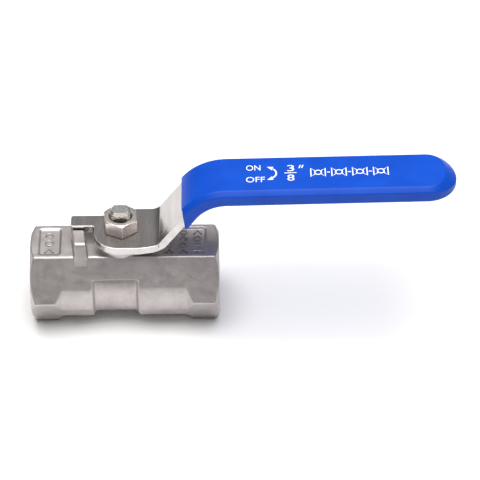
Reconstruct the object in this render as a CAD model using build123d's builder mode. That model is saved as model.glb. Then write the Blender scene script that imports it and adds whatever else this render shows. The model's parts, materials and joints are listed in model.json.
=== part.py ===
"""Water shutoff valve: a one-piece, reduced-port ball valve with a lever handle.

Frame: millimetres. The origin is the centre of the inlet port's mouth, +X runs along the flow
towards the outlet port, and +Z runs up the stem. The lever is in its open place, along +X.
Lengths named ..._x below are measured along the flow from the stem axis, not from the origin.
"""
import os
from math import cos, radians, sin, sqrt, tan

from build123d import *

os.makedirs("parts", exist_ok=True)

# ---------------------------------------------------------------- driving dimensions
# body casting, from hexagon bar
hex_af = 21.0             # across the flats of the hexagon
body_length = 47.0        # face to face
stem_x = 22.7             # inlet face to stem axis
end_chamfer_angle = 30.0  # turned chamfer of both ends, measured from the end face
end_face_inset = 0.3      # from the flats in to the plain end face inside that chamfer
cast_edge_r = 0.5         # rounding of the hexagon's long edges

# waisted underside: two barrels with a deeper recess between them
inlet_barrel_stand = 0.25  # barrel radius beyond the hexagon's flats
outlet_barrel_stand = 0.15
recess_depth = 1.1        # recess radius inside the flats
inlet_barrel_x = -15.0    # outer end of the inlet barrel
recess_start_x = -7.3
recess_end_x = 4.2
outlet_barrel_x = 16.2    # outer end of the outlet barrel
end_step_run = 1.5        # length of the sloped step up to each hexagonal end
recess_step_run = 0.7     # length of each step down into the middle recess
waist_round = 0.8         # rounding of the steps

# ports and flow passage
port_r = 8.33             # major radius of the 3/8 inch parallel pipe thread
port_depth = 11.0
port_mouth_chamfer = 0.7
bore_r = 3.5              # flow passage through body, seats, ball and end insert
passage_cone_run = 1.6    # cone between the inlet thread and the flow passage

# ball and seats
ball_r = 6.0
ball_port_chamfer = 0.25
seat_behind_ball = 1.0    # from the ball's outermost point to the seat's back face
seat_thickness = 3.3
seat_clearance = 0.05     # between the ball and the seat's spherical face
cavity_clearance = 0.4    # round the ball, in the bore that holds ball and seats
seat_side_clearance = 0.05

# screwed end insert that holds seats and ball in
insert_over_cavity = 0.6  # its M14 thread's major radius, beyond the cavity's radius
insert_length = 5.2
insert_side_clearance = 0.03
insert_tapping_lead = 1.4  # how far the M14 tapping runs on towards the ball
insert_hex_wall = 0.75    # from the flow passage out to the driving socket's flats
insert_hex_depth = 3.0
insert_chamfer = 0.4

# stem, its thrust washer and the packing
stem_over_thread = 0.5    # stem's radius beyond its threaded end's
running_clearance = 0.05  # between faces that turn against each other
collar_over_stem = 1.0    # collar's radius beyond the stem's
collar_thickness = 1.2
collar_above_ball = 0.6
tang_width = 2.6
tang_r = 3.4
tang_above_bore = 0.9     # from the flow passage up to the tang's end
tang_clearance = 0.05     # each side of the tang in the ball's slot
slot_floor_clearance = 0.25
thrust_washer_thickness = 0.6
packing_web = 1.0         # metal between the thrust washer and the packing
packing_width = 1.9       # from the stem to the packing's outer radius
packing_side_clearance = 0.03
packing_ring_height = 1.0
packing_ring_count = 2
shoulder_below_lever = 0.3

# stem boss on the body, and the gland that the lever presses
boss_wall = 1.3           # from the packing's outer radius to the boss's
boss_less_ball = 4.1      # the boss stands up by the ball's radius less this
boss_edge_r = 0.3
gland_stand = 0.5         # how far the gland stands out of the boss

# stop lug cast on the body, in plan
lug_outer_x = -12.2
lug_inner_x = -9.1
lug_skew = 0.6            # how far its front end is shifted towards the stem
lug_back_y = 0.25
lug_front_inset = 0.76    # its top's front edge, in from the edge of the top flat
lug_foot_drop = 1.97      # how far its front runs down the upper hexagon face
lug_below_lever_top = 0.85
lug_front_r = 0.9
lug_side_r = 0.35

# lever blade, in plan
blade_thickness = 2.0
tab_end_x = -12.5
tab_front_y = 0.6
tab_back_y = 4.65
tab_corner_r = 0.6
tab_root_x = -4.0         # where the tab's back edge starts to widen
shoulder_x = 2.5          # where it has widened to the crank
hub_left_x = -6.65
hub_front_y = -8.0
hub_front_end_x = 4.75    # where the hub's front edge starts to narrow
hub_corner_r = 6.2
hub_blend_r = 8.0
crank_half_width = 7.1
grip_half_width = 6.1
grip_taper_x = (16.5, 22.0)
grip_end_inside_sleeve = 1.3
grip_end_r = 5.5

# lever blade, side view
crank_x = 9.5             # where plate and crank meet on the mid-thickness line
crank_angle = 54.5
grip_rise = 15.2          # from the plate up to where crank and grip meet, mid-thickness
grip_slope = 1.0
lower_bend_r = 4.0
upper_bend_r = 11.5

# vinyl sleeve
lever_reach = 82.3        # stem axis to the tip of the sleeve
sleeve_wall = 1.25        # above and below the blade
sleeve_half_width = 7.35
sleeve_rim_run = 11.8     # from the lower bend's corner, up the crank, to the sleeve's start
sleeve_rim_lean = 8.0     # lean of the sleeve's cut end from upright
sleeve_edge_r = 1.2

# double-D drive and lever nut
thread_r = 2.5            # M5
drive_af = 3.0            # across the two flats
drive_clearance = 0.04
nut_af = 7.9
nut_height = 3.9
nut_chamfer_angle = 30.0
nut_turn = 5.7            # turn of the nut from having a corner to the front
nut_countersink = 0.45    # beyond the thread
nut_thread_clearance = 0.03
stem_end_above_nut = 2.1
stem_end_chamfer = 0.4

# recessed marking panels on the top flat, in plan
panel_depth = 0.35
panel_half_width = 4.85
panel_corner_r = 0.7
panels_x = ((-20.4, -15.1), (8.4, 21.0))

# how far a shape that trims or cuts another reaches past it
overrun = 1.0

# ---------------------------------------------------------------- worked out from them
flat_z = hex_af / 2
hex_corner_r = hex_af / sqrt(3)
flat_edge_y = -hex_corner_r / 2     # the top flat's front edge
face_mid_z = flat_z / 2
end_face_r = flat_z - end_face_inset
inlet_barrel_r = flat_z + inlet_barrel_stand
outlet_barrel_r = flat_z + outlet_barrel_stand
recess_r = flat_z - recess_depth
cavity_r = ball_r + cavity_clearance
seat_back_x = ball_r + seat_behind_ball
seat_face_x = seat_back_x - seat_thickness
insert_r = cavity_r + insert_over_cavity
insert_hex_af = 2 * (bore_r + insert_hex_wall)
stem_r = thread_r + stem_over_thread
collar_r = stem_r + collar_over_stem
collar_bottom_z = ball_r + collar_above_ball
packing_r = stem_r + packing_width
boss_r = packing_r + boss_wall
boss_height = ball_r - boss_less_ball
boss_top_z = flat_z + boss_height
lever_bottom_z = boss_top_z + gland_stand
lever_mid_z = lever_bottom_z + blade_thickness / 2
lever_top_z = lever_bottom_z + blade_thickness
grip_z = lever_mid_z + grip_rise
nut_top_z = lever_top_z + nut_height
stem_end_z = nut_top_z + stem_end_above_nut
lug_top_z = lever_top_z - lug_below_lever_top
lug_front_y = flat_edge_y + lug_front_inset
lug_foot_y = flat_edge_y - lug_foot_drop / sqrt(3)
collar_top_z = collar_bottom_z + collar_thickness
washer_bottom_z = collar_top_z + running_clearance
washer_top_z = washer_bottom_z + thrust_washer_thickness
packing_floor_z = washer_top_z + packing_web
packing_top_z = packing_floor_z + packing_ring_count * packing_ring_height
stem_hole_r = stem_r + running_clearance
pocket_r = collar_r + running_clearance
packing_bore_r = packing_r + packing_side_clearance
tang_bottom_z = bore_r + tang_above_bore
insert_end_x = seat_back_x + insert_length
outlet_thread_x = body_length - stem_x - port_depth
outside_r = hex_corner_r + overrun  # clear of the casting
flow_side = Plane.XZ                # sketches turned about the flow line
stem_side = Plane((stem_x, 0, 0), x_dir=(1, 0, 0), z_dir=(0, -1, 0))


def level(height):
    """The horizontal plane at a height, centred on the stem axis."""
    return Plane((stem_x, 0, height))


def cross(place_x):
    """The plane across the flow, place_x from the stem axis; its own axes are Y and Z."""
    return Plane.YZ.offset(stem_x + place_x)


def finish(made, name):
    """Label one sub-part and write it."""
    made.part.label = name
    export_step(made.part, f"parts/{name}.step")


def lever_side_line(rise):
    """Corner points and bend radii of the lever's side view, a distance above mid-thickness."""
    upper_corner_x = crank_x + (grip_z - lever_mid_z) / tan(radians(crank_angle))
    tip_rise = (lever_reach - upper_corner_x) * tan(radians(grip_slope))
    corners = (
        (tab_end_x, lever_mid_z),
        (crank_x, lever_mid_z),
        (upper_corner_x, grip_z),
        (lever_reach, grip_z + tip_rise),
    )
    headings = (0.0, 0.0, crank_angle, grip_slope, grip_slope)
    moved = []
    for (x, z), before, after in zip(corners, headings, headings[1:]):
        mean = radians(before + after) / 2
        reach = rise / cos(radians(after - before) / 2)
        moved.append((x - reach * sin(mean), z + reach * cos(mean)))
    return moved, (lower_bend_r - rise, upper_bend_r + rise)


def rim_plane():
    """The plane of the sleeve's cut end; the sleeve lies on its positive side."""
    corner_x, corner_z = lever_side_line(blade_thickness / 2 + sleeve_wall)[0][1]
    rim_x = corner_x + sleeve_rim_run * cos(radians(crank_angle))
    rim_z = corner_z + sleeve_rim_run * sin(radians(crank_angle))
    lean = radians(sleeve_rim_lean)
    return Plane((stem_x + rim_x, 0, rim_z), z_dir=(cos(lean), 0, sin(lean)))


# ---------------------------------------------------------------- body casting
with BuildPart() as lug:
    # side view of the stop lug: upright back, sloped front that runs down the upper hexagon face
    with BuildSketch(cross(lug_outer_x - overrun)):
        with BuildLine():
            FilletPolyline(
                (lug_back_y, face_mid_z),
                (lug_back_y, lug_top_z),
                (lug_front_y, lug_top_z),
                (lug_foot_y, flat_z - lug_foot_drop),
                (lug_front_y, face_mid_z),
                radius=(0, 0, lug_front_r, 0, 0),
                close=True,
            )
        make_face()
    extrude(amount=lug_inner_x + lug_skew - lug_outer_x + 2 * overrun)
    # plan view, both ends run past the side view
    with BuildSketch(level(face_mid_z)):
        skew_rate = lug_skew / (lug_back_y - lug_front_y)
        back_y = lug_back_y + overrun
        front_y = lug_foot_y - overrun
        back_shift = -skew_rate * overrun
        front_shift = skew_rate * (lug_back_y - front_y)
        with BuildLine():
            Polyline(
                (lug_outer_x + back_shift, back_y),
                (lug_inner_x + back_shift, back_y),
                (lug_inner_x + front_shift, front_y),
                (lug_outer_x + front_shift, front_y),
                close=True,
            )
        make_face()
    extrude(amount=lug_top_z - face_mid_z, mode=Mode.INTERSECT)
    top_edges = lug.faces().sort_by(Axis.Z)[-1].edges().sort_by(Axis.X)
    fillet((top_edges[0], top_edges[-1]), lug_side_r)

with BuildPart() as waist:
    # the ring that is cut away from the lower half to leave barrels and recess
    with BuildSketch(stem_side):
        rate_in = end_step_run / (hex_corner_r - inlet_barrel_r)
        rate_out = end_step_run / (hex_corner_r - outlet_barrel_r)
        start = inlet_barrel_x - rate_in * (outside_r - inlet_barrel_r)
        end = outlet_barrel_x + rate_out * (outside_r - outlet_barrel_r)
        with BuildLine():
            waist_line = FilletPolyline(
                (start, outside_r),
                (inlet_barrel_x, inlet_barrel_r),
                (recess_start_x, inlet_barrel_r),
                (recess_start_x + recess_step_run, recess_r),
                (recess_end_x - recess_step_run, recess_r),
                (recess_end_x, outlet_barrel_r),
                (outlet_barrel_x, outlet_barrel_r),
                (end, outside_r),
                radius=waist_round,
            )
            Line(waist_line @ 1, waist_line @ 0)
        make_face()
    revolve(axis=Axis.X)
    with BuildSketch(Plane.XY.offset(face_mid_z)):
        Rectangle(2 * (body_length + stem_x), 2 * outside_r * sqrt(2))
    extrude(amount=-2 * outside_r, mode=Mode.INTERSECT)

with BuildPart() as body:
    with BuildSketch(Plane.YZ):
        RegularPolygon(flat_z, 6, major_radius=False)
    extrude(amount=body_length)
    fillet(body.edges().filter_by(Axis.X), cast_edge_r)
    # turned chamfer at both ends
    with BuildSketch(flow_side):
        chamfer_run = (outside_r - end_face_r) * tan(radians(end_chamfer_angle))
        with BuildLine():
            Polyline(
                (0, 0),
                (0, end_face_r),
                (chamfer_run, outside_r),
                (body_length - chamfer_run, outside_r),
                (body_length, end_face_r),
                (body_length, 0),
                close=True,
            )
        make_face()
    revolve(axis=Axis.X, mode=Mode.INTERSECT)
    add(waist.part, mode=Mode.SUBTRACT)
    # boss round the stem
    with BuildSketch(level(face_mid_z)):
        Circle(boss_r)
    extrude(amount=boss_top_z - face_mid_z)
    fillet(body.edges().group_by(Axis.Z)[-1], boss_edge_r)
    add(lug.part)
    # marking panels
    with BuildSketch(level(flat_z)):
        for panel_start, panel_end in panels_x:
            with Locations(((panel_start + panel_end) / 2, 0)):
                RectangleRounded(panel_end - panel_start, 2 * panel_half_width, panel_corner_r)
    extrude(amount=-panel_depth, mode=Mode.SUBTRACT)
    # ports, passage, cavity and the tapping for the end insert, turned about the flow line
    with BuildSketch(flow_side):
        with BuildLine():
            Polyline(
                (0, 0),
                (0, port_r + port_mouth_chamfer),
                (port_mouth_chamfer, port_r),
                (port_depth, port_r),
                (port_depth + passage_cone_run, bore_r),
                (stem_x - seat_back_x, bore_r),
                (stem_x - seat_back_x, cavity_r),
                (stem_x + seat_back_x - insert_tapping_lead, cavity_r),
                (stem_x + seat_back_x - insert_tapping_lead, insert_r),
                (stem_x + outlet_thread_x, insert_r),
                (stem_x + outlet_thread_x, port_r),
                (body_length - port_mouth_chamfer, port_r),
                (body_length, port_r + port_mouth_chamfer),
                (body_length, 0),
                close=True,
            )
        make_face()
    revolve(axis=Axis.X, mode=Mode.SUBTRACT)
    # pocket for the stem collar, stem hole and packing chamber
    with BuildSketch(level(ball_r / 2)):
        Circle(pocket_r)
    extrude(amount=washer_top_z - ball_r / 2, mode=Mode.SUBTRACT)
    with BuildSketch(level(ball_r / 2)):
        Circle(stem_hole_r)
    extrude(amount=boss_top_z - ball_r / 2, mode=Mode.SUBTRACT)
    with BuildSketch(level(packing_floor_z)):
        Circle(packing_bore_r)
    extrude(amount=boss_top_z - packing_floor_z, mode=Mode.SUBTRACT)
finish(body, "body")

# ---------------------------------------------------------------- ball, seats, end insert
with BuildPart() as ball:
    with Locations((stem_x, 0, 0)):
        Sphere(ball_r)
    with BuildSketch(cross(-ball_r)):
        Circle(bore_r)
    extrude(amount=2 * ball_r, mode=Mode.SUBTRACT)
    chamfer(ball.edges().filter_by(GeomType.CIRCLE), ball_port_chamfer)
    # the slot runs across the flow while the valve is open
    with BuildSketch(level(tang_bottom_z - slot_floor_clearance)):
        Rectangle(tang_width + 2 * tang_clearance, 2 * ball_r)
    extrude(amount=ball_r, mode=Mode.SUBTRACT)
finish(ball, "ball")

for side, name in ((-1, "inlet_seat"), (1, "outlet_seat")):
    with BuildPart() as seat:
        with BuildSketch(stem_side):
            with BuildLine():
                Polyline(
                    (side * seat_face_x, bore_r),
                    (side * seat_face_x, cavity_r - seat_side_clearance),
                    (side * seat_back_x, cavity_r - seat_side_clearance),
                    (side * seat_back_x, bore_r),
                    close=True,
                )
            make_face()
            Circle(ball_r + seat_clearance, mode=Mode.SUBTRACT)
        revolve(axis=Axis.X)
    finish(seat, name)

with BuildPart() as end_insert:
    with BuildSketch(cross(seat_back_x)):
        Circle(insert_r - insert_side_clearance)
    extrude(amount=insert_length)
    chamfer(end_insert.edges().filter_by(GeomType.CIRCLE), insert_chamfer)
    with BuildSketch(cross(seat_back_x)):
        Circle(bore_r)
    extrude(amount=insert_length, mode=Mode.SUBTRACT)
    with BuildSketch(cross(insert_end_x)):
        RegularPolygon(insert_hex_af / 2, 6, major_radius=False)
    extrude(amount=-insert_hex_depth, mode=Mode.SUBTRACT)
finish(end_insert, "end_insert")

# ---------------------------------------------------------------- stem and its seals
with BuildPart() as drive:
    # the stem's threaded end with its two flats, from its shoulder up
    shoulder_z = lever_bottom_z - shoulder_below_lever
    with BuildSketch(level(shoulder_z)):
        Circle(thread_r)
    extrude(amount=stem_end_z - shoulder_z)
    chamfer(drive.edges().group_by(Axis.Z)[-1], stem_end_chamfer)
    with BuildSketch(level(shoulder_z)):
        Rectangle(2 * thread_r, drive_af)
    extrude(amount=stem_end_z - shoulder_z, mode=Mode.INTERSECT)

with BuildPart() as stem:
    with BuildSketch(level(tang_bottom_z)):
        Circle(tang_r)
        Rectangle(tang_width, 2 * tang_r, mode=Mode.INTERSECT)
    extrude(amount=collar_bottom_z - tang_bottom_z)
    with BuildSketch(level(collar_bottom_z)):
        Circle(collar_r)
    extrude(amount=collar_thickness)
    with BuildSketch(level(collar_top_z)):
        Circle(stem_r)
    extrude(amount=shoulder_z - collar_top_z)
    add(drive.part)
finish(stem, "stem")

washer_r = pocket_r - packing_side_clearance
gland_height = lever_bottom_z - running_clearance - packing_top_z
rings = [
    ("thrust_washer", washer_bottom_z, thrust_washer_thickness, washer_r),
    ("packing_gland", packing_top_z, gland_height, packing_r),
]
for place in range(packing_ring_count):
    ring_bottom_z = packing_floor_z + place * packing_ring_height
    rings.append((f"packing_ring_{place + 1}", ring_bottom_z, packing_ring_height, packing_r))
for name, bottom_z, height, outer_r in rings:
    with BuildPart() as seal:
        with BuildSketch(level(bottom_z)):
            Circle(outer_r)
            Circle(stem_hole_r, mode=Mode.SUBTRACT)
        extrude(amount=height)
    finish(seal, name)

# ---------------------------------------------------------------- lever
with BuildPart() as lever_blade:
    # side view: plate, crank and grip, bent from one strip
    with BuildSketch(stem_side):
        with BuildLine():
            for rise in (blade_thickness / 2, -blade_thickness / 2):
                corners, bends = lever_side_line(rise)
                edge_line = FilletPolyline(*corners, radius=bends)
                if rise > 0:
                    upper_line = edge_line
            Line(upper_line @ 0, edge_line @ 0)
            Line(upper_line @ 1, edge_line @ 1)
        make_face()
    extrude(amount=2 * outside_r, both=True)
    # plan view: stop tab, hub and strip
    with BuildSketch(level(0)):
        with BuildLine():
            grip_end_x = lever_reach - grip_end_inside_sleeve
            outline = (
                (tab_end_x, tab_front_y, tab_corner_r),
                (tab_end_x, tab_back_y, tab_corner_r),
                (tab_root_x, tab_back_y, hub_blend_r),
                (shoulder_x, crank_half_width, hub_blend_r),
                (grip_taper_x[0], crank_half_width, 0),
                (grip_taper_x[1], grip_half_width, 0),
                (grip_end_x, grip_half_width, grip_end_r),
                (grip_end_x, -grip_half_width, grip_end_r),
                (grip_taper_x[1], -grip_half_width, 0),
                (grip_taper_x[0], -crank_half_width, 0),
                (crank_x, -crank_half_width, hub_blend_r),
                (hub_front_end_x, hub_front_y, hub_blend_r),
                (hub_left_x, hub_front_y, hub_corner_r),
                (hub_left_x, tab_front_y, tab_corner_r),
            )
            corners = [(x, y) for x, y, radius in outline]
            FilletPolyline(*corners, radius=[radius for x, y, radius in outline], close=True)
        make_face()
    extrude(amount=2 * grip_z, mode=Mode.INTERSECT)
    # double-D hole
    with BuildSketch(level(0)):
        Circle(thread_r + drive_clearance)
        Rectangle(3 * thread_r, drive_af + 2 * drive_clearance, mode=Mode.INTERSECT)
    extrude(amount=2 * lever_top_z, mode=Mode.SUBTRACT)
finish(lever_blade, "lever_blade")

with BuildPart() as lever_sleeve:
    sleeve_size = (2 * sleeve_half_width, blade_thickness + 2 * sleeve_wall)
    corners, bends = lever_side_line(0)
    grip_run = Vector(corners[3]) - Vector(corners[2])
    tip_centre = Vector(corners[3]) - grip_run.normalized() * sleeve_half_width
    with BuildLine(stem_side) as sleeve_line:
        FilletPolyline(corners[1], corners[2], (tip_centre.X, tip_centre.Y), radius=bends[1])
    sleeve_path = sleeve_line.wire()
    for share in (0, 1):
        section = Plane(sleeve_path @ share, x_dir=(0, 1, 0), z_dir=sleeve_path % share)
        with BuildSketch(section):
            RectangleRounded(*sleeve_size, sleeve_edge_r)
            if share:
                Rectangle(*sleeve_size, align=(Align.MIN, Align.CENTER), mode=Mode.INTERSECT)
        if share:
            # the rounded tip, turned about the grip's normal
            revolve(axis=Axis(section.origin, section.y_dir))
        else:
            sweep(path=sleeve_path)
    split(bisect_by=rim_plane(), keep=Keep.TOP)
    add(lever_blade.part, mode=Mode.SUBTRACT)
finish(lever_sleeve, "lever_sleeve")

with BuildPart() as lever_nut:
    with BuildSketch(level(lever_top_z)):
        RegularPolygon(nut_af / 2, 6, major_radius=False, rotation=30 + nut_turn)
    extrude(amount=nut_height)
    # turned chamfer on top, countersinks and thread bore
    nut_outside_r = nut_af / sqrt(3) + overrun
    nut_drop = (nut_outside_r - nut_af / 2) * tan(radians(nut_chamfer_angle))
    with BuildSketch(stem_side):
        with BuildLine():
            Polyline(
                (0, lever_top_z),
                (nut_outside_r, lever_top_z),
                (nut_outside_r, nut_top_z - nut_drop),
                (nut_af / 2, nut_top_z),
                (0, nut_top_z),
                close=True,
            )
        make_face()
    revolve(axis=Axis((stem_x, 0, 0), (0, 0, 1)), mode=Mode.INTERSECT)
    nut_bore_r = thread_r + nut_thread_clearance
    countersink = nut_countersink - nut_thread_clearance
    with Locations(level(nut_top_z)):
        Hole(nut_bore_r)
    circles = lever_nut.edges().filter_by(GeomType.CIRCLE)
    bore_edges = circles.filter_by(lambda edge: edge.radius < nut_bore_r + countersink)
    chamfer(bore_edges, countersink)
finish(lever_nut, "lever_nut")
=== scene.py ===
"""Looks of the water shutoff valve: a stainless one-piece ball valve with a blue vinyl lever.

Frame: the row's own, in metres, with the flow along +X and the stem along +Z. Sizes below are
written in millimetres times MM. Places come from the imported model's own nodes.
"""
import json
from math import asin, cos, hypot, pi, radians, sin, sqrt, tan

import bmesh
import bpy
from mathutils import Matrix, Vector, noise

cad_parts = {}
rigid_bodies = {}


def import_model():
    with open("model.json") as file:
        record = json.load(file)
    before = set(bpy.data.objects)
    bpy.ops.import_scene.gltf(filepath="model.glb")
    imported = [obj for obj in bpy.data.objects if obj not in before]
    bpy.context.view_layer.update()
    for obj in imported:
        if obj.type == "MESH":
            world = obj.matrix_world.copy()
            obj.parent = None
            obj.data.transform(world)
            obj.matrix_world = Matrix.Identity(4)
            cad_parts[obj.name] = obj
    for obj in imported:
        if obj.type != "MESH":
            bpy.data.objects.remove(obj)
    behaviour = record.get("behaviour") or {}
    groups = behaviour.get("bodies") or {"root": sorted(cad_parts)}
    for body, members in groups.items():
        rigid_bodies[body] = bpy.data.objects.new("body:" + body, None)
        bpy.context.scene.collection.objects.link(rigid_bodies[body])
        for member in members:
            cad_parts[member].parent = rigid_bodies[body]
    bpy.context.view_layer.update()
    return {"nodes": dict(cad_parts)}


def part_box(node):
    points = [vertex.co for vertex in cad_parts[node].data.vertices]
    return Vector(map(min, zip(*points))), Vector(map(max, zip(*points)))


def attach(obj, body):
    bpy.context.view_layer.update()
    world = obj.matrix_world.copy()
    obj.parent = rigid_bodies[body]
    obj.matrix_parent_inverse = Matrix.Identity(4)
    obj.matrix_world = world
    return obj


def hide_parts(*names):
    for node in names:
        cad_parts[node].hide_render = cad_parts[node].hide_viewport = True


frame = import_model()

MM = 0.001

# ---------------------------------------------------------------- places, from the frame
body_low, body_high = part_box("body")
stem_low, stem_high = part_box("stem")
nut_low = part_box("lever_nut")[0]
sleeve_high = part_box("lever_sleeve")[1]
gland_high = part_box("packing_gland")[1]
STEM_X = (stem_low.x + stem_high.x) / 2
FLAT_Z = -body_low.z                     # the hexagon's top flat
LEVER_TOP_Z = nut_low.z
LEVER_TIP_X = sleeve_high.x
BODY_LENGTH = body_high.x

# ---------------------------------------------------------------- sizes that the frame doesn't give
PORT_R = 8.33 * MM                       # 3/8 inch parallel pipe thread, major radius
PORT_CREST_R = 7.5 * MM
PORT_PITCH = 1.337 * MM
PORT_THREAD_START = 0.9 * MM
PORT_THREAD_LENGTH = 9.2 * MM
STEM_THREAD_R = 2.5 * MM                 # M5
STEM_ROOT_R = 2.07 * MM
STEM_PITCH = 0.8 * MM
STEM_FLAT = 1.5 * MM                     # stem axis to each of its two flats
STEM_R = 3.0 * MM
STEM_END_CHAMFER = 0.4 * MM
SHOULDER_BELOW_LEVER = 0.3 * MM
GLAND_CLEARANCE = 0.05 * MM              # between the gland and the lever's underside
COLLAR_R = 4.0 * MM
COLLAR_THICKNESS = 1.2 * MM
COLLAR_EDGE = 0.2 * MM
TANG_HEIGHT = 2.2 * MM
TANG_HALF = 1.3 * MM                     # half its width
TANG_R = 3.4 * MM
TANG_EDGE = 0.25 * MM
HAIR = 0.001 * MM                        # keeps two surfaces or corners just apart
TRACE = 0.01 * MM                        # how far the stem's plain rounds are flatted
FINE_TRACE = 0.003 * MM                  # and its shaft
WAIST_TOP_Z = 5.9 * MM                   # the underside's steps lie below this
WAIST_END = 2.5 * MM
PORT_WALL = 0.3 * MM                     # metal round the port that stays unsmoothed
PANEL_FLOOR_Z = FLAT_Z - 0.35 * MM
PANEL_MARK_R = 0.24 * MM

CRANK_ANGLE = radians(54.5)
CRANK_X = 9.5 * MM                       # stem axis to the corner of plate and crank
GRIP_Z = 29.1 * MM                       # mid-thickness height of the corner of crank and grip
GRIP_SLOPE = radians(1.0)
UPPER_BEND_R = 11.5 * MM
BLADE_HALF = 1.0 * MM                    # half the blade's thickness
BLADE_CRANK_HALF_WIDTH = 7.1 * MM
BLADE_GRIP_HALF_WIDTH = 6.1 * MM
BLADE_TAPER = (16.5 * MM, 22.0 * MM)     # from the stem axis
SLEEVE_HALF = 2.25 * MM
SLEEVE_HALF_WIDTH = 7.35 * MM
SLEEVE_RIM_RUN = 11.8 * MM
SLEEVE_RIM_LEAN = radians(8.0)


# ---------------------------------------------------------------- making and joining meshes
def new_object(name, mesh, body, material, smooth_angle=35):
    """Link a mesh as a piece that rides on a body."""
    piece = bpy.data.objects.new(name, mesh)
    bpy.context.scene.collection.objects.link(piece)
    mesh.materials.clear()
    mesh.materials.append(material)
    if smooth_angle:
        mesh.shade_smooth()
        mesh.set_sharp_from_angle(angle=radians(smooth_angle))
    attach(piece, body)
    return piece


def mesh_of(name, vertices, faces, weld=0.002 * MM):
    """A mesh of points and faces, with doubles welded and normals turned outwards."""
    mesh = bpy.data.meshes.new(name)
    mesh.from_pydata([tuple(point) for point in vertices], [], faces)
    shape = bmesh.new()
    shape.from_mesh(mesh)
    bmesh.ops.remove_doubles(shape, verts=shape.verts, dist=weld)
    bmesh.ops.recalc_face_normals(shape, faces=shape.faces)
    shape.to_mesh(mesh)
    shape.free()
    return mesh


def skin(rows, start=0, wrap=False):
    """Quads between rows of points of equal length; with wrap, each row is a closed loop."""
    faces = []
    width = len(rows[0])
    for i in range(len(rows) - 1):
        for j in range(width if wrap else width - 1):
            k = (j + 1) % width
            a, b = start + i * width, start + (i + 1) * width
            faces.append((a + j, a + k, b + k, b + j))
    return faces


def flat_points(rows):
    return [point for row in rows for point in row]


def bake_modifiers(piece):
    """Put the result of a piece's modifiers into its mesh."""
    depsgraph = bpy.context.evaluated_depsgraph_get()
    evaluated = piece.evaluated_get(depsgraph)
    done = bpy.data.meshes.new_from_object(evaluated, depsgraph=depsgraph)
    piece.modifiers.clear()
    piece.data = done


def copy_of(node, name):
    """A welded copy of a CAD node's mesh, with its flat faces as single faces."""
    mesh = frame["nodes"][node].data.copy()
    mesh.name = name
    if "custom_normal" in mesh.attributes:
        mesh.attributes.remove(mesh.attributes["custom_normal"])
    shape = bmesh.new()
    shape.from_mesh(mesh)
    bmesh.ops.remove_doubles(shape, verts=shape.verts, dist=0.002 * MM)
    bmesh.ops.dissolve_limit(shape, angle_limit=radians(0.5), verts=shape.verts, edges=shape.edges)
    shape.to_mesh(mesh)
    shape.free()
    return mesh


def softened(node, name, body, material, width, angle=32, edge_material=None):
    """A copy of a CAD node with its sharp edges rounded, standing for that node."""
    piece = new_object(name, copy_of(node, name), body, material, smooth_angle=angle)
    bevel = piece.modifiers.new("edges", "BEVEL")
    bevel.width = width
    bevel.segments = 3
    if edge_material:
        piece.data.materials.append(edge_material)
        bevel.material = 1
    bevel.limit_method = "ANGLE"
    bevel.angle_limit = radians(angle)
    bevel.harden_normals = True
    bake_modifiers(piece)
    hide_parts(node)
    return piece


def evened(piece, voxel):
    """Remesh a piece into even quads of a size, ready to be smoothed."""
    remesh = piece.modifiers.new("even", "REMESH")
    remesh.mode = "VOXEL"
    remesh.voxel_size = voxel
    bake_modifiers(piece)


def smoothed(piece, iterations, group=""):
    """Smooth a piece, or one of its vertex groups."""
    smooth = piece.modifiers.new("soft", "SMOOTH")
    smooth.factor = 0.5
    smooth.iterations = iterations
    smooth.vertex_group = group


def thinned(piece, ratio):
    """Put a piece's modifiers into its mesh, with fewer triangles."""
    thin = piece.modifiers.new("thin", "DECIMATE")
    thin.ratio = ratio
    bake_modifiers(piece)


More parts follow.
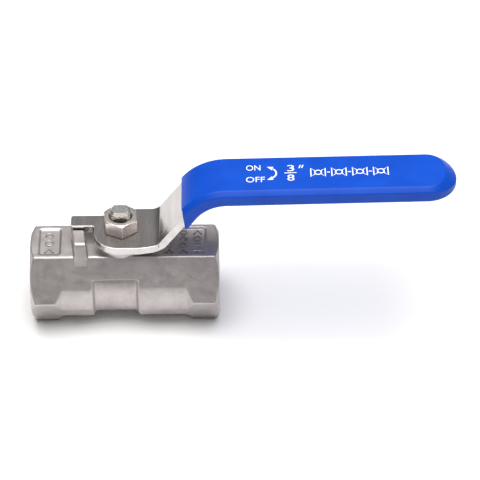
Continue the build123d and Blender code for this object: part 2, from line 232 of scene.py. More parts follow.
# ---------------------------------------------------------------- materials
class Look:
    """One node material, built up step by step."""

    def __init__(self, name, **values):
        self.material = bpy.data.materials.new(name)
        self.material.use_nodes = True
        self.tree = self.material.node_tree
        self.shader = self.tree.nodes["Principled BSDF"]
        place = self.add("ShaderNodeTexCoord")
        self.place = place.outputs["Object"]
        self.bumps = None
        for socket, value in values.items():
            self.shader.inputs[socket.replace("_", " ")].default_value = value

    def add(self, kind, **settings):
        node = self.tree.nodes.new(kind)
        for name, value in settings.items():
            setattr(node, name, value)
        return node

    def link(self, output, socket):
        self.tree.links.new(output, socket)

    def noise(self, grain, detail=3, roughness=0.5, stretch=(1, 1, 1), distortion=0.0):
        """Noise whose features are about grain across, longer along an axis by its stretch."""
        scaled = self.add("ShaderNodeMapping")
        for axis in range(3):
            scaled.inputs["Scale"].default_value[axis] = 1 / (grain * stretch[axis])
        self.link(self.place, scaled.inputs["Vector"])
        made = self.add("ShaderNodeTexNoise")
        made.inputs["Scale"].default_value = 1.0
        made.inputs["Detail"].default_value = detail
        made.inputs["Roughness"].default_value = roughness
        made.inputs["Distortion"].default_value = distortion
        self.link(scaled.outputs["Vector"], made.inputs["Vector"])
        return made.outputs["Fac"]

    def ramp(self, value, *stops):
        """A colour or grey for each (place, colour) stop."""
        made = self.add("ShaderNodeValToRGB")
        while len(made.color_ramp.elements) < len(stops):
            made.color_ramp.elements.new(0.5)
        for element, (place, colour) in zip(made.color_ramp.elements, stops):
            element.position = place
            element.color = (*colour, 1) if isinstance(colour, tuple) else (colour,) * 3 + (1,)
        self.link(value, made.inputs["Fac"])
        return made.outputs["Color"]

    def blend(self, factor, first, second, kind="MIX"):
        made = self.add("ShaderNodeMix", data_type="RGBA", blend_type=kind)
        for socket, value in ((made.inputs[0], factor), (made.inputs[6], first), (made.inputs[7], second)):
            if isinstance(value, bpy.types.NodeSocket):
                self.link(value, socket)
            else:
                socket.default_value = value if isinstance(value, float) else (*value, 1)
        return made.outputs[2]

    def paint_shade_in_corners(self, shade, reach, darkest):
        """A colour with painted shade: darker within a reach of other surfaces, where shade falls."""
        # painted shade: ambient occlusion darkens the colour in corners, crevices and between parts
        made = self.add("ShaderNodeAmbientOcclusion")
        made.inputs["Distance"].default_value = reach
        corner_shade = self.ramp(made.outputs["AO"], (0.35, darkest), (0.85, 1.0))
        return self.blend(0.85, shade, corner_shade, "MULTIPLY")

    def bump(self, height, depth, strength=1.0):
        """Add a bump whose height noise spans depth."""
        made = self.add("ShaderNodeBump")
        made.inputs["Strength"].default_value = strength
        made.inputs["Distance"].default_value = depth
        self.link(height, made.inputs["Height"])
        if self.bumps:
            self.link(self.bumps, made.inputs["Normal"])
        self.bumps = made.outputs["Normal"]
        self.link(self.bumps, self.shader.inputs["Normal"])

    def colour(self, output):
        self.link(output, self.shader.inputs["Base Color"])

    def roughness(self, output):
        self.link(output, self.shader.inputs["Roughness"])


def cast_look():
    """Investment-cast stainless, tumbled: warm grey, faintly pitted, with painted shade in its corners."""
    look = Look("cast_stainless", Metallic=1.0)
    cloud = look.noise(6 * MM, detail=4, roughness=0.55)
    shade = look.ramp(cloud, (0.3, (0.45, 0.415, 0.41)), (0.7, (0.58, 0.54, 0.53)))
    speck = look.noise(0.5 * MM, detail=3, roughness=0.6)
    shade = look.blend(0.16, shade, look.ramp(speck, (0.38, 0.55), (0.5, 1.0)), "MULTIPLY")
    # painted shade: the colour is darker in corners, crevices and round the raised marks
    look.colour(look.paint_shade_in_corners(shade, 0.9 * MM, 0.22))
    look.roughness(look.ramp(look.noise(1.6 * MM, detail=5, roughness=0.65), (0.3, 0.40), (0.7, 0.54)))
    look.bump(look.noise(0.9 * MM, detail=2), 0.025 * MM, 0.5)
    look.bump(look.noise(0.25 * MM, detail=3, roughness=0.6), 0.010 * MM, 0.7)
    return look.material


def turned_look():
    """Turned stainless, for the stem, the gland and the end insert."""
    look = Look("turned_stainless", Metallic=1.0)
    ring = look.noise(0.12 * MM, detail=2, stretch=(8, 8, 1))
    look.colour(look.ramp(ring, (0.3, (0.66, 0.645, 0.63)), (0.7, (0.78, 0.765, 0.75))))
    look.roughness(look.ramp(look.noise(0.5 * MM), (0.3, 0.24), (0.7, 0.34)))
    look.bump(ring, 0.003 * MM, 0.4)
    return look.material


def pressed_look():
    """Pressed sheet, brushed across the lever."""
    look = Look("pressed_stainless", Metallic=1.0, Anisotropic=0.35)
    streak = look.noise(0.16 * MM, detail=4, roughness=0.7, stretch=(1, 40, 1))
    wide = look.noise(2.2 * MM, detail=3, roughness=0.55, stretch=(1, 5, 1))
    shade = look.ramp(wide, (0.3, (0.58, 0.55, 0.54)), (0.7, (0.70, 0.665, 0.65)))
    lines = look.ramp(streak, (0.3, 0.78), (0.7, 1.0))
    shade = look.blend(0.8, shade, lines, "MULTIPLY")
    # painted shade: the colour is darker in corners and where the sheet meets other parts
    look.colour(look.paint_shade_in_corners(shade, 0.7 * MM, 0.15))
    look.roughness(look.ramp(streak, (0.3, 0.14), (0.7, 0.25)))
    look.bump(streak, 0.006 * MM, 0.6)
    return look.material


def worn_edge_with_painted_highlight_look():
    """The same sheet where tumbling has polished its edges; their much lighter colour is partly painted
    highlight.
    """
    look = Look("worn_edge_with_painted_highlight", Metallic=1.0)
    wear_and_sheen = look.noise(0.8 * MM, detail=3)
    # painted highlight: the edges' colour is much lighter than the sheet's, on top of their real polish
    look.colour(look.ramp(wear_and_sheen, (0.3, (0.82, 0.80, 0.78)), (0.7, (0.93, 0.91, 0.89))))
    look.roughness(look.ramp(wear_and_sheen, (0.3, 0.28), (0.7, 0.38)))
    return look.material


def nut_look():
    """Cold-formed stainless with a touch of warm discolouring."""
    look = Look("nut_stainless", Metallic=1.0)
    cloud = look.noise(3.5 * MM, detail=3)
    shade = look.ramp(cloud, (0.35, (0.68, 0.62, 0.58)), (0.65, (0.80, 0.73, 0.68)))
    # painted shade: the colour is darker in corners and next to the stem and lever
    look.colour(look.paint_shade_in_corners(shade, 0.7 * MM, 0.15))
    fine = look.noise(0.14 * MM, detail=3, stretch=(1, 1, 6))
    look.roughness(look.ramp(fine, (0.3, 0.24), (0.7, 0.36)))
    look.bump(fine, 0.005 * MM, 0.5)
    return look.material


def ball_look():
    """Polished ball with faint turning marks."""
    look = Look("polished_ball", Metallic=1.0)
    look.colour(look.ramp(look.noise(1.5 * MM), (0.3, (0.74, 0.74, 0.75)), (0.7, (0.82, 0.82, 0.83))))
    look.roughness(look.ramp(look.noise(0.3 * MM), (0.3, 0.06), (0.7, 0.12)))
    return look.material


def seat_look():
    """White fluoropolymer, waxy, with faint turning marks."""
    look = Look("seat_plastic", Subsurface_Weight=0.15)
    look.shader.inputs["Subsurface Radius"].default_value = (MM, 0.8 * MM, 0.7 * MM)
    look.colour(look.ramp(look.noise(1.2 * MM), (0.3, (0.84, 0.84, 0.81)), (0.7, (0.9, 0.9, 0.88))))
    look.roughness(look.ramp(look.noise(0.4 * MM), (0.3, 0.42), (0.7, 0.58)))
    look.bump(look.noise(0.1 * MM, stretch=(1, 6, 6)), 0.004 * MM, 0.5)
    return look.material


def vinyl_look():
    """Dipped vinyl: saturated blue, glossy, with a very slight orange peel."""
    look = Look("blue_vinyl", Specular_IOR_Level=0.22)
    cloud = look.noise(6 * MM, detail=3)
    look.colour(look.ramp(cloud, (0.3, (0.001, 0.058, 0.46)), (0.7, (0.002, 0.072, 0.52))))
    look.roughness(look.ramp(look.noise(0.7 * MM, detail=4), (0.3, 0.30), (0.7, 0.40)))
    look.bump(look.noise(1.4 * MM, detail=2), 0.02 * MM, 0.35)
    look.bump(look.noise(0.18 * MM, detail=2), 0.004 * MM, 0.5)
    return look.material


def print_look():
    """White pad print, thin enough to let a little blue through its pinholes."""
    look = Look("white_print")
    pinhole = look.noise(0.16 * MM, detail=3, roughness=0.7)
    look.colour(look.ramp(pinhole, (0.3, (0.62, 0.70, 0.86)), (0.42, (0.86, 0.88, 0.9))))
    look.roughness(look.ramp(pinhole, (0.3, 0.55), (0.7, 0.42)))
    look.bump(pinhole, 0.004 * MM, 0.6)
    return look.material


def floor_look():
    look = Look("pale_floor", Specular_IOR_Level=0.2)
    look.colour(look.ramp(look.noise(60 * MM), (0.3, 0.93), (0.7, 0.95)))
    look.roughness(look.ramp(look.noise(20 * MM), (0.3, 0.7), (0.7, 0.8)))
    return look.material


# ---------------------------------------------------------------- body casting
def make_body(material):
    """The casting with soft edges and fillets, as tumbling leaves them."""
    piece = new_object("cast_body", copy_of("body", "cast_body"), "valve_body", material)
    evened(piece, 0.2 * MM)
    # the waisted underside, apart from the machined ends, has the softest corners
    waist = piece.vertex_groups.new(name="waist")
    inside = [vertex.index for vertex in piece.data.vertices
              if vertex.co.z < WAIST_TOP_Z and WAIST_END < vertex.co.x < BODY_LENGTH - WAIST_END
              and hypot(vertex.co.y, vertex.co.z) > PORT_R + PORT_WALL]
    waist.add(inside, 1.0, "REPLACE")
    smoothed(piece, 5)
    smoothed(piece, 7, "waist")
    thinned(piece, 0.45)
    # thinning can leave a lone point standing off a flat, which this lays down again
    smoothed(piece, 1)
    bake_modifiers(piece)
    outwards = [vertex.normal.copy() for vertex in piece.data.vertices]
    for vertex, outward in zip(piece.data.vertices, outwards):
        place = vertex.co / MM
        wave = noise.noise(place * 0.16) * 0.05 + noise.noise(place * 0.7) * 0.02
        vertex.co += outward * wave * MM
    piece.data.shade_smooth()
    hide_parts("body")
    return piece


def make_nut(material):
    """The hexagon nut, its turned chamfer and its faces meeting in slightly worn edges."""
    piece = new_object("hex_nut", copy_of("lever_nut", "hex_nut"), "lever", material)
    evened(piece, 0.07 * MM)
    smoothed(piece, 3)
    thinned(piece, 0.4)
    piece.data.shade_smooth()
    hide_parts("lever_nut")
    return piece


def port_thread(name, mouth_x, inwards, material):
    """The thread's ridge in a port, one long helix that runs out at both ends."""
    turns = PORT_THREAD_LENGTH / PORT_PITCH
    root_r = PORT_R + 0.06 * MM              # sunk a little into the port's wall
    steps = 72
    rows = []
    for i in range(int(turns * steps) + 1):
        turn = i / steps
        fade = min(1, turn * 2, (turns - turn) * 2)
        crest_r = PORT_R - (PORT_R - PORT_CREST_R) * fade
        centre = PORT_THREAD_START + turn * PORT_PITCH
        row = []
        for along, radius in ((-0.5, root_r), (-0.12, crest_r), (0.12, crest_r), (0.5, root_r)):
            x = mouth_x + inwards * (centre + along * PORT_PITCH)
            row.append(Vector((x, radius * cos(2 * pi * turn), radius * sin(2 * pi * turn))))
        rows.append(row)
    faces = skin(rows, wrap=True)
    last = (len(rows) - 1) * 4
    faces += [(0, 1, 2, 3), (last + 3, last + 2, last + 1, last)]
    mesh = mesh_of(name, flat_points(rows), faces)
    return new_object(name, mesh, "valve_body", material, smooth_angle=25)


# ---------------------------------------------------------------- marks cast in the panels
def stroke_mesh(name, strokes, radius, place):
    """Round strokes along lists of plan points, as one mesh; place turns (x, y) into a point."""
    curve = bpy.data.curves.new(name, "CURVE")
    curve.dimensions = "3D"
    curve.bevel_depth = radius
    curve.bevel_resolution = 3
    curve.use_fill_caps = True
    for points, closed in strokes:
        spline = curve.splines.new("POLY")
        spline.points.add(len(points) - 1)
        for slot, point in zip(spline.points, points):
            slot.co = (*place(*point), 1)
        spline.use_cyclic_u = closed
    holder = bpy.data.objects.new(name, curve)
    mesh = bpy.data.meshes.new_from_object(holder)
    bpy.data.objects.remove(holder)
    bpy.data.curves.remove(curve)
    return mesh


def arc(radius, start, end, steps=20, centre=(0, 0)):
    turn = (end - start) / steps
    return [(centre[0] + radius * cos(radians(start + turn * i)),
             centre[1] + radius * sin(radians(start + turn * i))) for i in range(steps + 1)]


def glyph(kind, size):
    """One of the plain shapes that the panels carry in place of cast lettering."""
    half = size / 2
    if kind == "ring":
        return [(arc(half * 0.85, 0, 360)[:-1], True)]
    if kind == "bars":
        return [([(-half, side), (half, side)], False) for side in (-half * 0.6, half * 0.6)]
    if kind == "chevron":
        return [([(-half, -half * 0.8), (0, half * 0.7), (half, -half * 0.8)], False)]
    if kind == "diamond":
        return [([(0, half), (half, 0), (0, -half), (-half, 0)], True)]
    if kind == "hook":
        return [(arc(half * 0.85, -60, 200), False)]
    return [([(-half, 0), (half, 0)], False), ([(0, -half), (0, half)], False)]


def make_panel_marks(material):
    """Raised marks in both recesses of the top flat."""
    columns = (
        (-17.9, 2.7, 2.3, ("hook", "ring", "chevron"), 2.1),
        (11.9, 2.4, 1.2, ("bars", "ring", "chevron"), 1.7),
        (15.4, 2.35, 3.4, ("ring", "hook", "ring", "chevron"), 1.8),
        (18.9, 2.35, 3.4, ("chevron", "ring", "bars", "plus"), 1.9),
    )
    strokes = []
    for column_x, pitch, first_y, kinds, size in columns:
        for place, kind in enumerate(kinds):
            for points, closed in glyph(kind, size):
                moved = [(column_x + x, first_y - place * pitch + y) for x, y in points]
                strokes.append((moved, closed))
    centre_z = PANEL_FLOOR_Z + 0.03 * MM
    mesh = stroke_mesh("panel_marks", strokes, PANEL_MARK_R,
                       lambda x, y: (STEM_X + x * MM, y * MM, centre_z))
    return new_object("panel_marks", mesh, "valve_body", material, smooth_angle=60)


# ---------------------------------------------------------------- stem
def stem_radius(z, angle):
    """Radius of the M5 thread at a height and angle, run out at its lower end."""
    phase = (z / STEM_PITCH - angle / (2 * pi)) % 1
    ridge = 1 - abs(2 * phase - 1)
    height = min(1, max(0, ridge * 1.5 - 0.25))
    top = stem_high.z - STEM_END_CHAMFER
    radius = STEM_ROOT_R + (STEM_THREAD_R - STEM_ROOT_R) * height
    if z > top:
        radius = min(radius, STEM_THREAD_R - (z - top))
    return radius


def flatted_loop(z, radius_at, flat, arc_steps=22, flat_steps=8):
    """A closed loop at height z: two arcs of a given radius between two flats facing +Y and -Y."""
    loop = []
    for side in (0, pi):
        ends = []
        for sign in (-1, 1):
            corner = 0.7
            for _ in range(6):
                corner = asin(min(1, flat / radius_at(z, side + sign * corner)))
            ends.append(sign * corner)
        for i in range(arc_steps + 1):
            angle = side + ends[0] + (ends[1] - ends[0]) * i / arc_steps
            radius = radius_at(z, angle)
            loop.append(Vector((STEM_X + radius * cos(angle), radius * sin(angle), z)))
    arcs = [loop[:arc_steps + 1], loop[arc_steps + 1:]]
    closed = []
    for this, after in ((arcs[0], arcs[1]), (arcs[1], arcs[0])):
        closed += this
        for i in range(1, flat_steps):
            closed.append(this[-1].lerp(after[0], i / flat_steps))
    return closed


def make_stem(material):
    """The whole stem: tang, collar, shaft and the flatted M5 end."""
    shoulder_z = gland_high.z + GLAND_CLEARANCE - SHOULDER_BELOW_LEVER
    collar_z = stem_low.z + TANG_HEIGHT
    collar_top_z = collar_z + COLLAR_THICKNESS
    top_z = stem_high.z - HAIR
    centre = Vector((STEM_X, 0, stem_high.z))
    rows = [[centre.lerp(point, shrink) for point in flatted_loop(top_z, stem_radius, STEM_FLAT)]
            for shrink in (0.0, 0.3, 0.6)]
    step = STEM_PITCH / 12
    for i in range(int((stem_high.z - shoulder_z) / step)):
        rows.append(flatted_loop(top_z - i * step, stem_radius, STEM_FLAT))
    # plain rounds below the thread, whose flats are only just cut
    shaft_flat = STEM_R - FINE_TRACE
    shoulder_r = STEM_R - COLLAR_EDGE
    rim_r = COLLAR_R - COLLAR_EDGE
    plain = ((shoulder_z, STEM_THREAD_R, STEM_FLAT),
             (shoulder_z, shoulder_r, shoulder_r - TRACE),
             (shoulder_z - COLLAR_EDGE, STEM_R, shaft_flat),
             (collar_top_z, STEM_R, shaft_flat),
             (collar_top_z, rim_r, rim_r - TRACE),
             (collar_top_z - COLLAR_EDGE, COLLAR_R, COLLAR_R - TRACE),
             (collar_z + COLLAR_EDGE, COLLAR_R, COLLAR_R - TRACE),
             (collar_z, rim_r, rim_r - TRACE))
    for height, radius, flat in plain:
        rows.append(flatted_loop(height, lambda z, a, r=radius: r, flat))
    rows.append([Vector((STEM_X, 0, collar_z)).lerp(point, 0.1) for point in rows[-1]])
    faces = skin(rows, wrap=True)
    width = len(rows[0])
    last = (len(rows) - 1) * width
    faces.append(tuple(range(last, last + width)))
    points = flat_points(rows)
    # the tang, whose two long faces drive the ball
    tang = []
    for height, inset in ((collar_z, 0), (stem_low.z + TANG_EDGE, 0), (stem_low.z, TANG_EDGE)):
        loop = []
        for side in (pi / 2, -pi / 2):
            half = asin(TANG_HALF / TANG_R)
            for i in range(13):
                angle = side - half + 2 * half * i / 12
                radius = TANG_R - inset
                x = max(inset - TANG_HALF, min(TANG_HALF - inset, radius * cos(angle)))
                loop.append(Vector((STEM_X + x, radius * sin(angle), height)))
        tang.append(loop)
    start = len(points)
    faces += skin(tang, start=start, wrap=True)
    width = len(tang[0])
    faces.append(tuple(range(start + 2 * width, start + 3 * width)))
    faces.append(tuple(range(start, start + width)))
    mesh = mesh_of("threaded_stem", points + flat_points(tang), faces)
    piece = new_object("threaded_stem", mesh, "lever", material, smooth_angle=28)
    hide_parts("stem")
    return piece


# ---------------------------------------------------------------- vinyl sleeve
LEVER_MID_Z = LEVER_TOP_Z - BLADE_HALF
CRANK_CORNER = Vector((STEM_X + CRANK_X, 0, LEVER_MID_Z))
GRIP_CORNER = Vector((CRANK_CORNER.x + (GRIP_Z - LEVER_MID_Z) / tan(CRANK_ANGLE), 0, GRIP_Z))
CRANK_WAY = Vector((cos(CRANK_ANGLE), 0, sin(CRANK_ANGLE)))
GRIP_WAY = Vector((cos(GRIP_SLOPE), 0, sin(GRIP_SLOPE)))
GRIP_UP = Vector((-sin(GRIP_SLOPE), 0, cos(GRIP_SLOPE)))
ACROSS = Vector((0, 1, 0))
BEND_TURN = CRANK_ANGLE - GRIP_SLOPE
BEND_REACH = UPPER_BEND_R * tan(BEND_TURN / 2)
GRIP_LENGTH = (LEVER_TIP_X - GRIP_CORNER.x) / cos(GRIP_SLOPE)


def lever_line(bend_steps=18, grip_steps=26):
    """Points of the lever's middle line from the bend's start to the tip's centre, with directions."""
    line = []
    start = GRIP_CORNER - CRANK_WAY * BEND_REACH
    centre = start + Vector((sin(CRANK_ANGLE), 0, -cos(CRANK_ANGLE))) * UPPER_BEND_R
    for i in range(bend_steps + 1):
        angle = CRANK_ANGLE - BEND_TURN * i / bend_steps
        way = Vector((cos(angle), 0, sin(angle)))
        up = Vector((-sin(angle), 0, cos(angle)))
        line.append((centre + up * UPPER_BEND_R, way, up))
    bend_end = line[-1][0]
    tip_centre = GRIP_CORNER + GRIP_WAY * (GRIP_LENGTH - SLEEVE_HALF_WIDTH)
    for i in range(1, grip_steps + 1):
        line.append((bend_end.lerp(tip_centre, i / grip_steps), GRIP_WAY, GRIP_UP))
    return line


def rounded(points, radii, steps=5):
    """An open outline with its inner corners rounded, one radius for each."""
    line = [Vector(points[0])]
    for before, corner, after, radius in zip(points, points[1:], points[2:], radii):
        corner = Vector(corner)
        back = (Vector(before) - corner).normalized()
        on = (Vector(after) - corner).normalized()
        reach = radius / tan(back.angle(on) / 2)
        for step in range(steps + 1):
            t = step / steps
            line.append((corner + back * reach) * (1 - t) ** 2 + corner * 2 * t * (1 - t)
                        + (corner + on * reach) * t * t)
    line.append(Vector(points[-1]))
    return line


def sleeve_profile(top_bevel, inset=0.0):
    """Half the sleeve's section, (out, up), from the middle of its top to the middle of its underside."""
    wide = SLEEVE_HALF_WIDTH - inset
    high = SLEEVE_HALF - inset
    bevel = top_bevel - inset * (2 - sqrt(2))
    drop = bevel * 0.85
    under = 0.8 * MM - inset * (2 - sqrt(2))
    corners = ((0, high), (wide * 0.5, high), (wide - bevel, high), (wide, high - drop),
               (wide, -high + under), (wide - under, -high), (wide * 0.5, -high), (0, -high))
    return rounded(corners, (HAIR, 0.45 * MM, 0.45 * MM, 0.5 * MM, 0.5 * MM, HAIR))


def pocket_profile(wide):
    """Half the section of the space that the blade fills inside the sleeve."""
    corners = ((0, BLADE_HALF), (wide * 0.5, BLADE_HALF), (wide * 0.8, BLADE_HALF), (wide, BLADE_HALF),
               (wide, -BLADE_HALF), (wide * 0.8, -BLADE_HALF), (wide * 0.5, -BLADE_HALF), (0, -BLADE_HALF))
    return rounded(corners, (HAIR,) * 6)


def rim_start(up_offset, along):
    """Where a line of the sleeve at a height off the middle line meets its cut end."""
    top = SLEEVE_HALF
    corner = CRANK_CORNER + Vector((-sin(CRANK_ANGLE / 2), 0, cos(CRANK_ANGLE / 2))) * (
        top / cos(CRANK_ANGLE / 2))
    rim = corner + CRANK_WAY * SLEEVE_RIM_RUN
    face = Vector((cos(SLEEVE_RIM_LEAN), 0, sin(SLEEVE_RIM_LEAN)))
    up = Vector((-sin(CRANK_ANGLE), 0, cos(CRANK_ANGLE)))
    foot = CRANK_CORNER + up * up_offset
    return foot + CRANK_WAY * ((rim - foot).dot(face) / CRANK_WAY.dot(face) + along)


def make_sleeve(material):
    """The dipped sleeve: outer skin, rolled rim and the pocket for the blade, as one closed shell."""
    turn_steps = 16
    rim_r = 0.5 * MM

    def half_rows(profile_at, line):
        """Rows of one long side, from the rim to the tip's foremost line."""
        rows = []
        for point, _, up in line:
            rows.append([point - ACROSS * out + up * rise for out, rise in profile_at(0, point.x)])
        centre, way, up = line[-1]
        for i in range(1, turn_steps + 1):
            angle = pi / 2 * i / turn_steps
            ray = -ACROSS * cos(angle) + way * sin(angle)
            rows.append([centre + ray * out + up * rise
                         for out, rise in profile_at(sin(angle), centre.x)])
        return rows

    def outer_profile(round_tip, x):
        return sleeve_profile((1.2 + 1.5 * round_tip ** 2) * MM)

    def blade_half_width(x):
        share = (x - STEM_X - BLADE_TAPER[0]) / (BLADE_TAPER[1] - BLADE_TAPER[0])
        share = max(0, min(1, share))
        return BLADE_CRANK_HALF_WIDTH + (BLADE_GRIP_HALF_WIDTH - BLADE_CRANK_HALF_WIDTH) * share

    def inner_profile(round_tip, x):
        return pocket_profile(min(blade_half_width(x), SLEEVE_HALF_WIDTH - 0.3 * MM))

    outer = half_rows(outer_profile, lever_line())
    inner = half_rows(inner_profile, lever_line())
    # rolled rim: rows that step out from the cut end to the full section
    rim_rows = []
    for i in range(6):
        angle = pi / 2 * i / 5
        inset = rim_r * (1 - sin(angle))
        along = rim_r * (1 - cos(angle))
        profile = sleeve_profile(1.2 * MM, inset)
        rim_rows.append([rim_start(rise, along) - ACROSS * out for out, rise in profile])
    limit = CRANK_WAY.dot(lever_line()[0][0])
    for row in rim_rows:
        for i, point in enumerate(row):
            over = CRANK_WAY.dot(point) - (limit - 0.02 * MM)
            if over > 0:
                row[i] = point - CRANK_WAY * over
    between = [[a.lerp(b, share) for a, b in zip(rim_rows[-1], outer[0])] for share in (0.33, 0.66)]
    outer = rim_rows + between + outer
    inner_rim = [rim_start(rise, 0.15 * MM) - ACROSS * out
                 for out, rise in inner_profile(0, STEM_X + BLADE_TAPER[0])]
    inner = [inner_rim] + inner

    def mirrored(rows):
        flipped = [[Vector((p.x, -p.y, p.z)) for p in row] for row in reversed(rows[:-1])]
        return rows + flipped

    outer, inner = mirrored(outer), mirrored(inner)
    width = len(outer[0])
    faces = skin(outer)
    start = len(outer) * width
    faces += [tuple(reversed(face)) for face in skin(inner, start=start)]
    for outer_row, inner_row in ((0, start), ((len(outer) - 1) * width, start + (len(inner) - 1) * width)):
        for j in range(width - 1):
            faces.append((outer_row + j, inner_row + j, inner_row + j + 1, outer_row + j + 1))
    mesh = mesh_of("vinyl_sleeve", flat_points(outer) + flat_points(inner), faces)
    piece = new_object("vinyl_sleeve", mesh, "lever", material, smooth_angle=50)
    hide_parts("lever_sleeve")
    return piece


# ---------------------------------------------------------------- print on the sleeve
def on_sleeve(u, v, rise=0.015 * MM):
    """A point of the sleeve's flat top, u along the grip from its corner and v across."""
    return GRIP_CORNER + GRIP_WAY * u + ACROSS * v + GRIP_UP * (SLEEVE_HALF + rise)


def text_outline(text, height, width, left, base):
    """A plain word as a flat mesh, stretched to a height and width, on the sleeve."""
    curve = bpy.data.curves.new("word", "FONT")
    curve.body = text
    curve.resolution_u = 6
    holder = bpy.data.objects.new("word", curve)
    mesh = bpy.data.meshes.new_from_object(holder)
    bpy.data.objects.remove(holder)
    xs = [vertex.co.x for vertex in mesh.vertices]
    ys = [vertex.co.y for vertex in mesh.vertices]
    for vertex in mesh.vertices:
        u = left + (vertex.co.x - min(xs)) / (max(xs) - min(xs)) * width
        v = base + (vertex.co.y - min(ys)) / (max(ys) - min(ys)) * height
        vertex.co = on_sleeve(u, v)
    return mesh


def ribbon(points, width, closed=False):
    """A flat line of even width on the sleeve, as (points, faces)."""
    flat = [Vector(point) for point in points]
    count = len(flat)
    left, right = [], []
    for i, point in enumerate(flat):
        before = flat[i - 1] if i or closed else flat[0]
        after = flat[(i + 1) % count] if i < count - 1 or closed else flat[-1]
        way = (after - before).normalized()
        side = Vector((-way.y, way.x)) * width / 2
        left.append(on_sleeve(*(point + side)))
        right.append(on_sleeve(*(point - side)))
    faces = []
    for i in range(count if closed else count - 1):
        k = (i + 1) % count
        faces.append((i, k, count + k, count + i))
    return left + right, faces


def polygon(points):
    return [on_sleeve(*point) for point in points], [tuple(range(len(points)))]


def make_print(material):
    """ON and OFF with their arrow, the size, and a plain valve symbol, in white."""
    parts = [
        text_outline("ON", 2.0 * MM, 3.5 * MM, 10.7 * MM, 1.35 * MM),
        text_outline("OFF", 2.0 * MM, 4.6 * MM, 10.6 * MM, -3.1 * MM),
        text_outline("3", 2.3 * MM, 1.75 * MM, 20.7 * MM, 0.8 * MM),
        text_outline("8", 2.3 * MM, 1.75 * MM, 20.65 * MM, -2.8 * MM),
    ]
    shapes = []
    shapes.append(ribbon([(19.95 * MM, 0.17 * MM), (23.0 * MM, 0.22 * MM)], 0.26 * MM))
    for start in (23.6, 24.25):
        shapes.append(ribbon([(start * MM, 1.9 * MM), ((start + 0.35) * MM, 3.1 * MM)], 0.3 * MM))
    bow = arc(2.05, -52, 52, centre=(15.95, 0.15))
    shapes.append(ribbon([(u * MM, v * MM) for u, v in bow], 0.42 * MM))
    for tip_v, sign in ((2.65, 1), (-2.35, -1)):
        head = ((15.75, tip_v), (17.35, tip_v - 0.1 * sign), (16.9, tip_v - 1.35 * sign))
        shapes.append(polygon([(u * MM, v * MM) for u, v in head]))
    shapes += symbol_shapes()
    for points, faces in shapes:
        mesh = bpy.data.meshes.new("shape")
        mesh.from_pydata([tuple(point) for point in points], [], faces)
        parts.append(mesh)
    whole = bmesh.new()
    for part in parts:
        whole.from_mesh(part)
        bpy.data.meshes.remove(part)
    bmesh.ops.recalc_face_normals(whole, faces=whole.faces)
    for face in whole.faces:
        if face.normal.z < 0:
            face.normal_flip()
    grown = bmesh.ops.extrude_face_region(whole, geom=list(whole.faces))
    for item in grown["geom"]:
        if isinstance(item, bmesh.types.BMVert):
            item.co += GRIP_UP * 0.03 * MM
    bmesh.ops.recalc_face_normals(whole, faces=whole.faces)
    mesh = bpy.data.meshes.new("sleeve_print")
    whole.to_mesh(mesh)
    whole.free()
    return new_object("sleeve_print", mesh, "lever", material, smooth_angle=None)


def symbol_shapes():
    """A pipeline drawing's valve signs in a row, where the sleeve names its product."""
    shapes = []
    line = 0.32
    for place in range(4):
        centre = 28.2 + place * 5.1
        low, high = -1.45, 1.7
        middle = (low + high) / 2
        for sign in (-1, 1):
            outer = centre + sign * 1.75
            inner = centre + sign * 0.62
            rise = 0.5
            points = [(inner, middle + rise), (outer, high), (outer, low), (inner, middle - rise)]
            shapes.append(ribbon([(u * MM, v * MM) for u, v in points], line * MM))
        circle = arc(0.8, 0, 360, steps=28, centre=(centre, middle))[:-1]
        shapes.append(ribbon([(u * MM, v * MM) for u, v in circle], line * MM, closed=True))
        if place < 3:
            dash = [(centre + 2.15, middle), (centre + 2.95, middle)]
            shapes.append(ribbon([(u * MM, v * MM) for u, v in dash], line * MM))
    return shapes


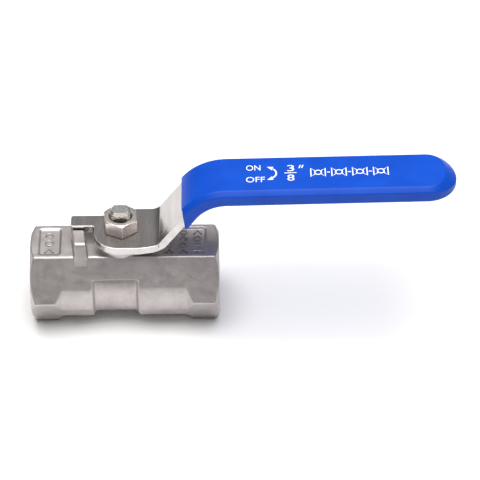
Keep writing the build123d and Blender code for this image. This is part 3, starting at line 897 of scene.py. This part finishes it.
# ---------------------------------------------------------------- floor, light and camera
def make_stage():
    """A pale floor under the valve, soft light from above and from the front, and the camera."""
    half = 3.0
    mesh = bpy.data.meshes.new("floor")
    floor_z = body_low.z
    mesh.from_pydata([(-half, -half, floor_z), (half, -half, floor_z), (half, half, floor_z),
                      (-half, half, floor_z)], [], [(0, 1, 2, 3)])
    floor = bpy.data.objects.new("floor", mesh)
    bpy.context.scene.collection.objects.link(floor)
    mesh.materials.append(floor_look())

    target = Vector((STEM_X + 29.48 * MM, 0, 10.37 * MM))
    # name, place from the target, size of its square, power and colour
    lights = (
        ("overhead", (-0.02, 0.00, 0.60), 0.62, 5.7, (1.0, 0.99, 0.98)),
        ("front_top", (0.05, -0.45, 0.55), 0.45, 0.30, (1.0, 1.0, 1.0)),
    )
    for name, offset, size, power, colour in lights:
        lamp = bpy.data.lights.new(name, "AREA")
        lamp.shape = "SQUARE"
        lamp.size = size
        lamp.energy = power
        lamp.color = colour
        holder = bpy.data.objects.new(name, lamp)
        bpy.context.scene.collection.objects.link(holder)
        holder.location = target + Vector(offset)
        holder.rotation_euler = (target - holder.location).to_track_quat("-Z", "Y").to_euler()
        holder.visible_camera = False

    world = bpy.data.worlds.new("studio")
    world.use_nodes = True
    tree = world.node_tree
    way = tree.nodes.new("ShaderNodeTexCoord")
    parts = tree.nodes.new("ShaderNodeSeparateXYZ")
    sky = tree.nodes.new("ShaderNodeValToRGB")
    tree.links.new(way.outputs["Generated"], parts.inputs["Vector"])
    tree.links.new(parts.outputs["Z"], sky.inputs["Fac"])
    tree.links.new(sky.outputs["Color"], tree.nodes["Background"].inputs["Color"])
    for stop, (place, grey) in zip(sky.color_ramp.elements, ((0.0, 0.10), (0.9, 0.38))):
        stop.position = place
        stop.color = (grey, grey, grey, 1)
    bpy.context.scene.world = world

    elevation, azimuth, distance = radians(41.05), radians(-0.89), 0.65
    away = Vector((sin(azimuth) * cos(elevation), -cos(azimuth) * cos(elevation), sin(elevation)))
    camera = bpy.data.cameras.new("camera")
    camera.lens = 195.9
    camera.sensor_width = 36
    camera.clip_start = 0.01
    holder = bpy.data.objects.new("camera", camera)
    bpy.context.scene.collection.objects.link(holder)
    holder.location = target + away * distance
    holder.rotation_euler = away.to_track_quat("Z", "Y").to_euler()
    bpy.context.scene.camera = holder
    bpy.context.scene.view_settings.view_transform = "Standard"


def main():
    for spare in [o for o in bpy.data.objects if o.name in ("Cube", "Light", "Camera")]:
        bpy.data.objects.remove(spare)
    cast, turned, pressed = cast_look(), turned_look(), pressed_look()
    vinyl, seat, nut = vinyl_look(), seat_look(), nut_look()
    make_body(cast)
    port_thread("inlet_thread", body_low.x, 1, turned)
    port_thread("outlet_thread", BODY_LENGTH, -1, turned)
    make_panel_marks(cast)
    make_stem(turned)
    make_sleeve(vinyl)
    make_print(print_look())
    # the blade's bevelled edges take the worn edge material, whose lighter colour is partly painted
    # highlight
    softened("lever_blade", "brushed_blade", "lever", pressed, 0.3 * MM,
             edge_material=worn_edge_with_painted_highlight_look())
    make_nut(nut)
    softened("end_insert", "socket_insert", "valve_body", turned, 0.1 * MM)
    softened("packing_gland", "gland_ring", "valve_body", turned, 0.15 * MM)
    plain = {"ball": ball_look(), "inlet_seat": seat, "outlet_seat": seat, "thrust_washer": seat,
             "packing_ring_1": seat, "packing_ring_2": seat}
    for node, material in plain.items():
        for place in frame["nodes"][node].material_slots:
            place.material = material
    make_stage()


main()
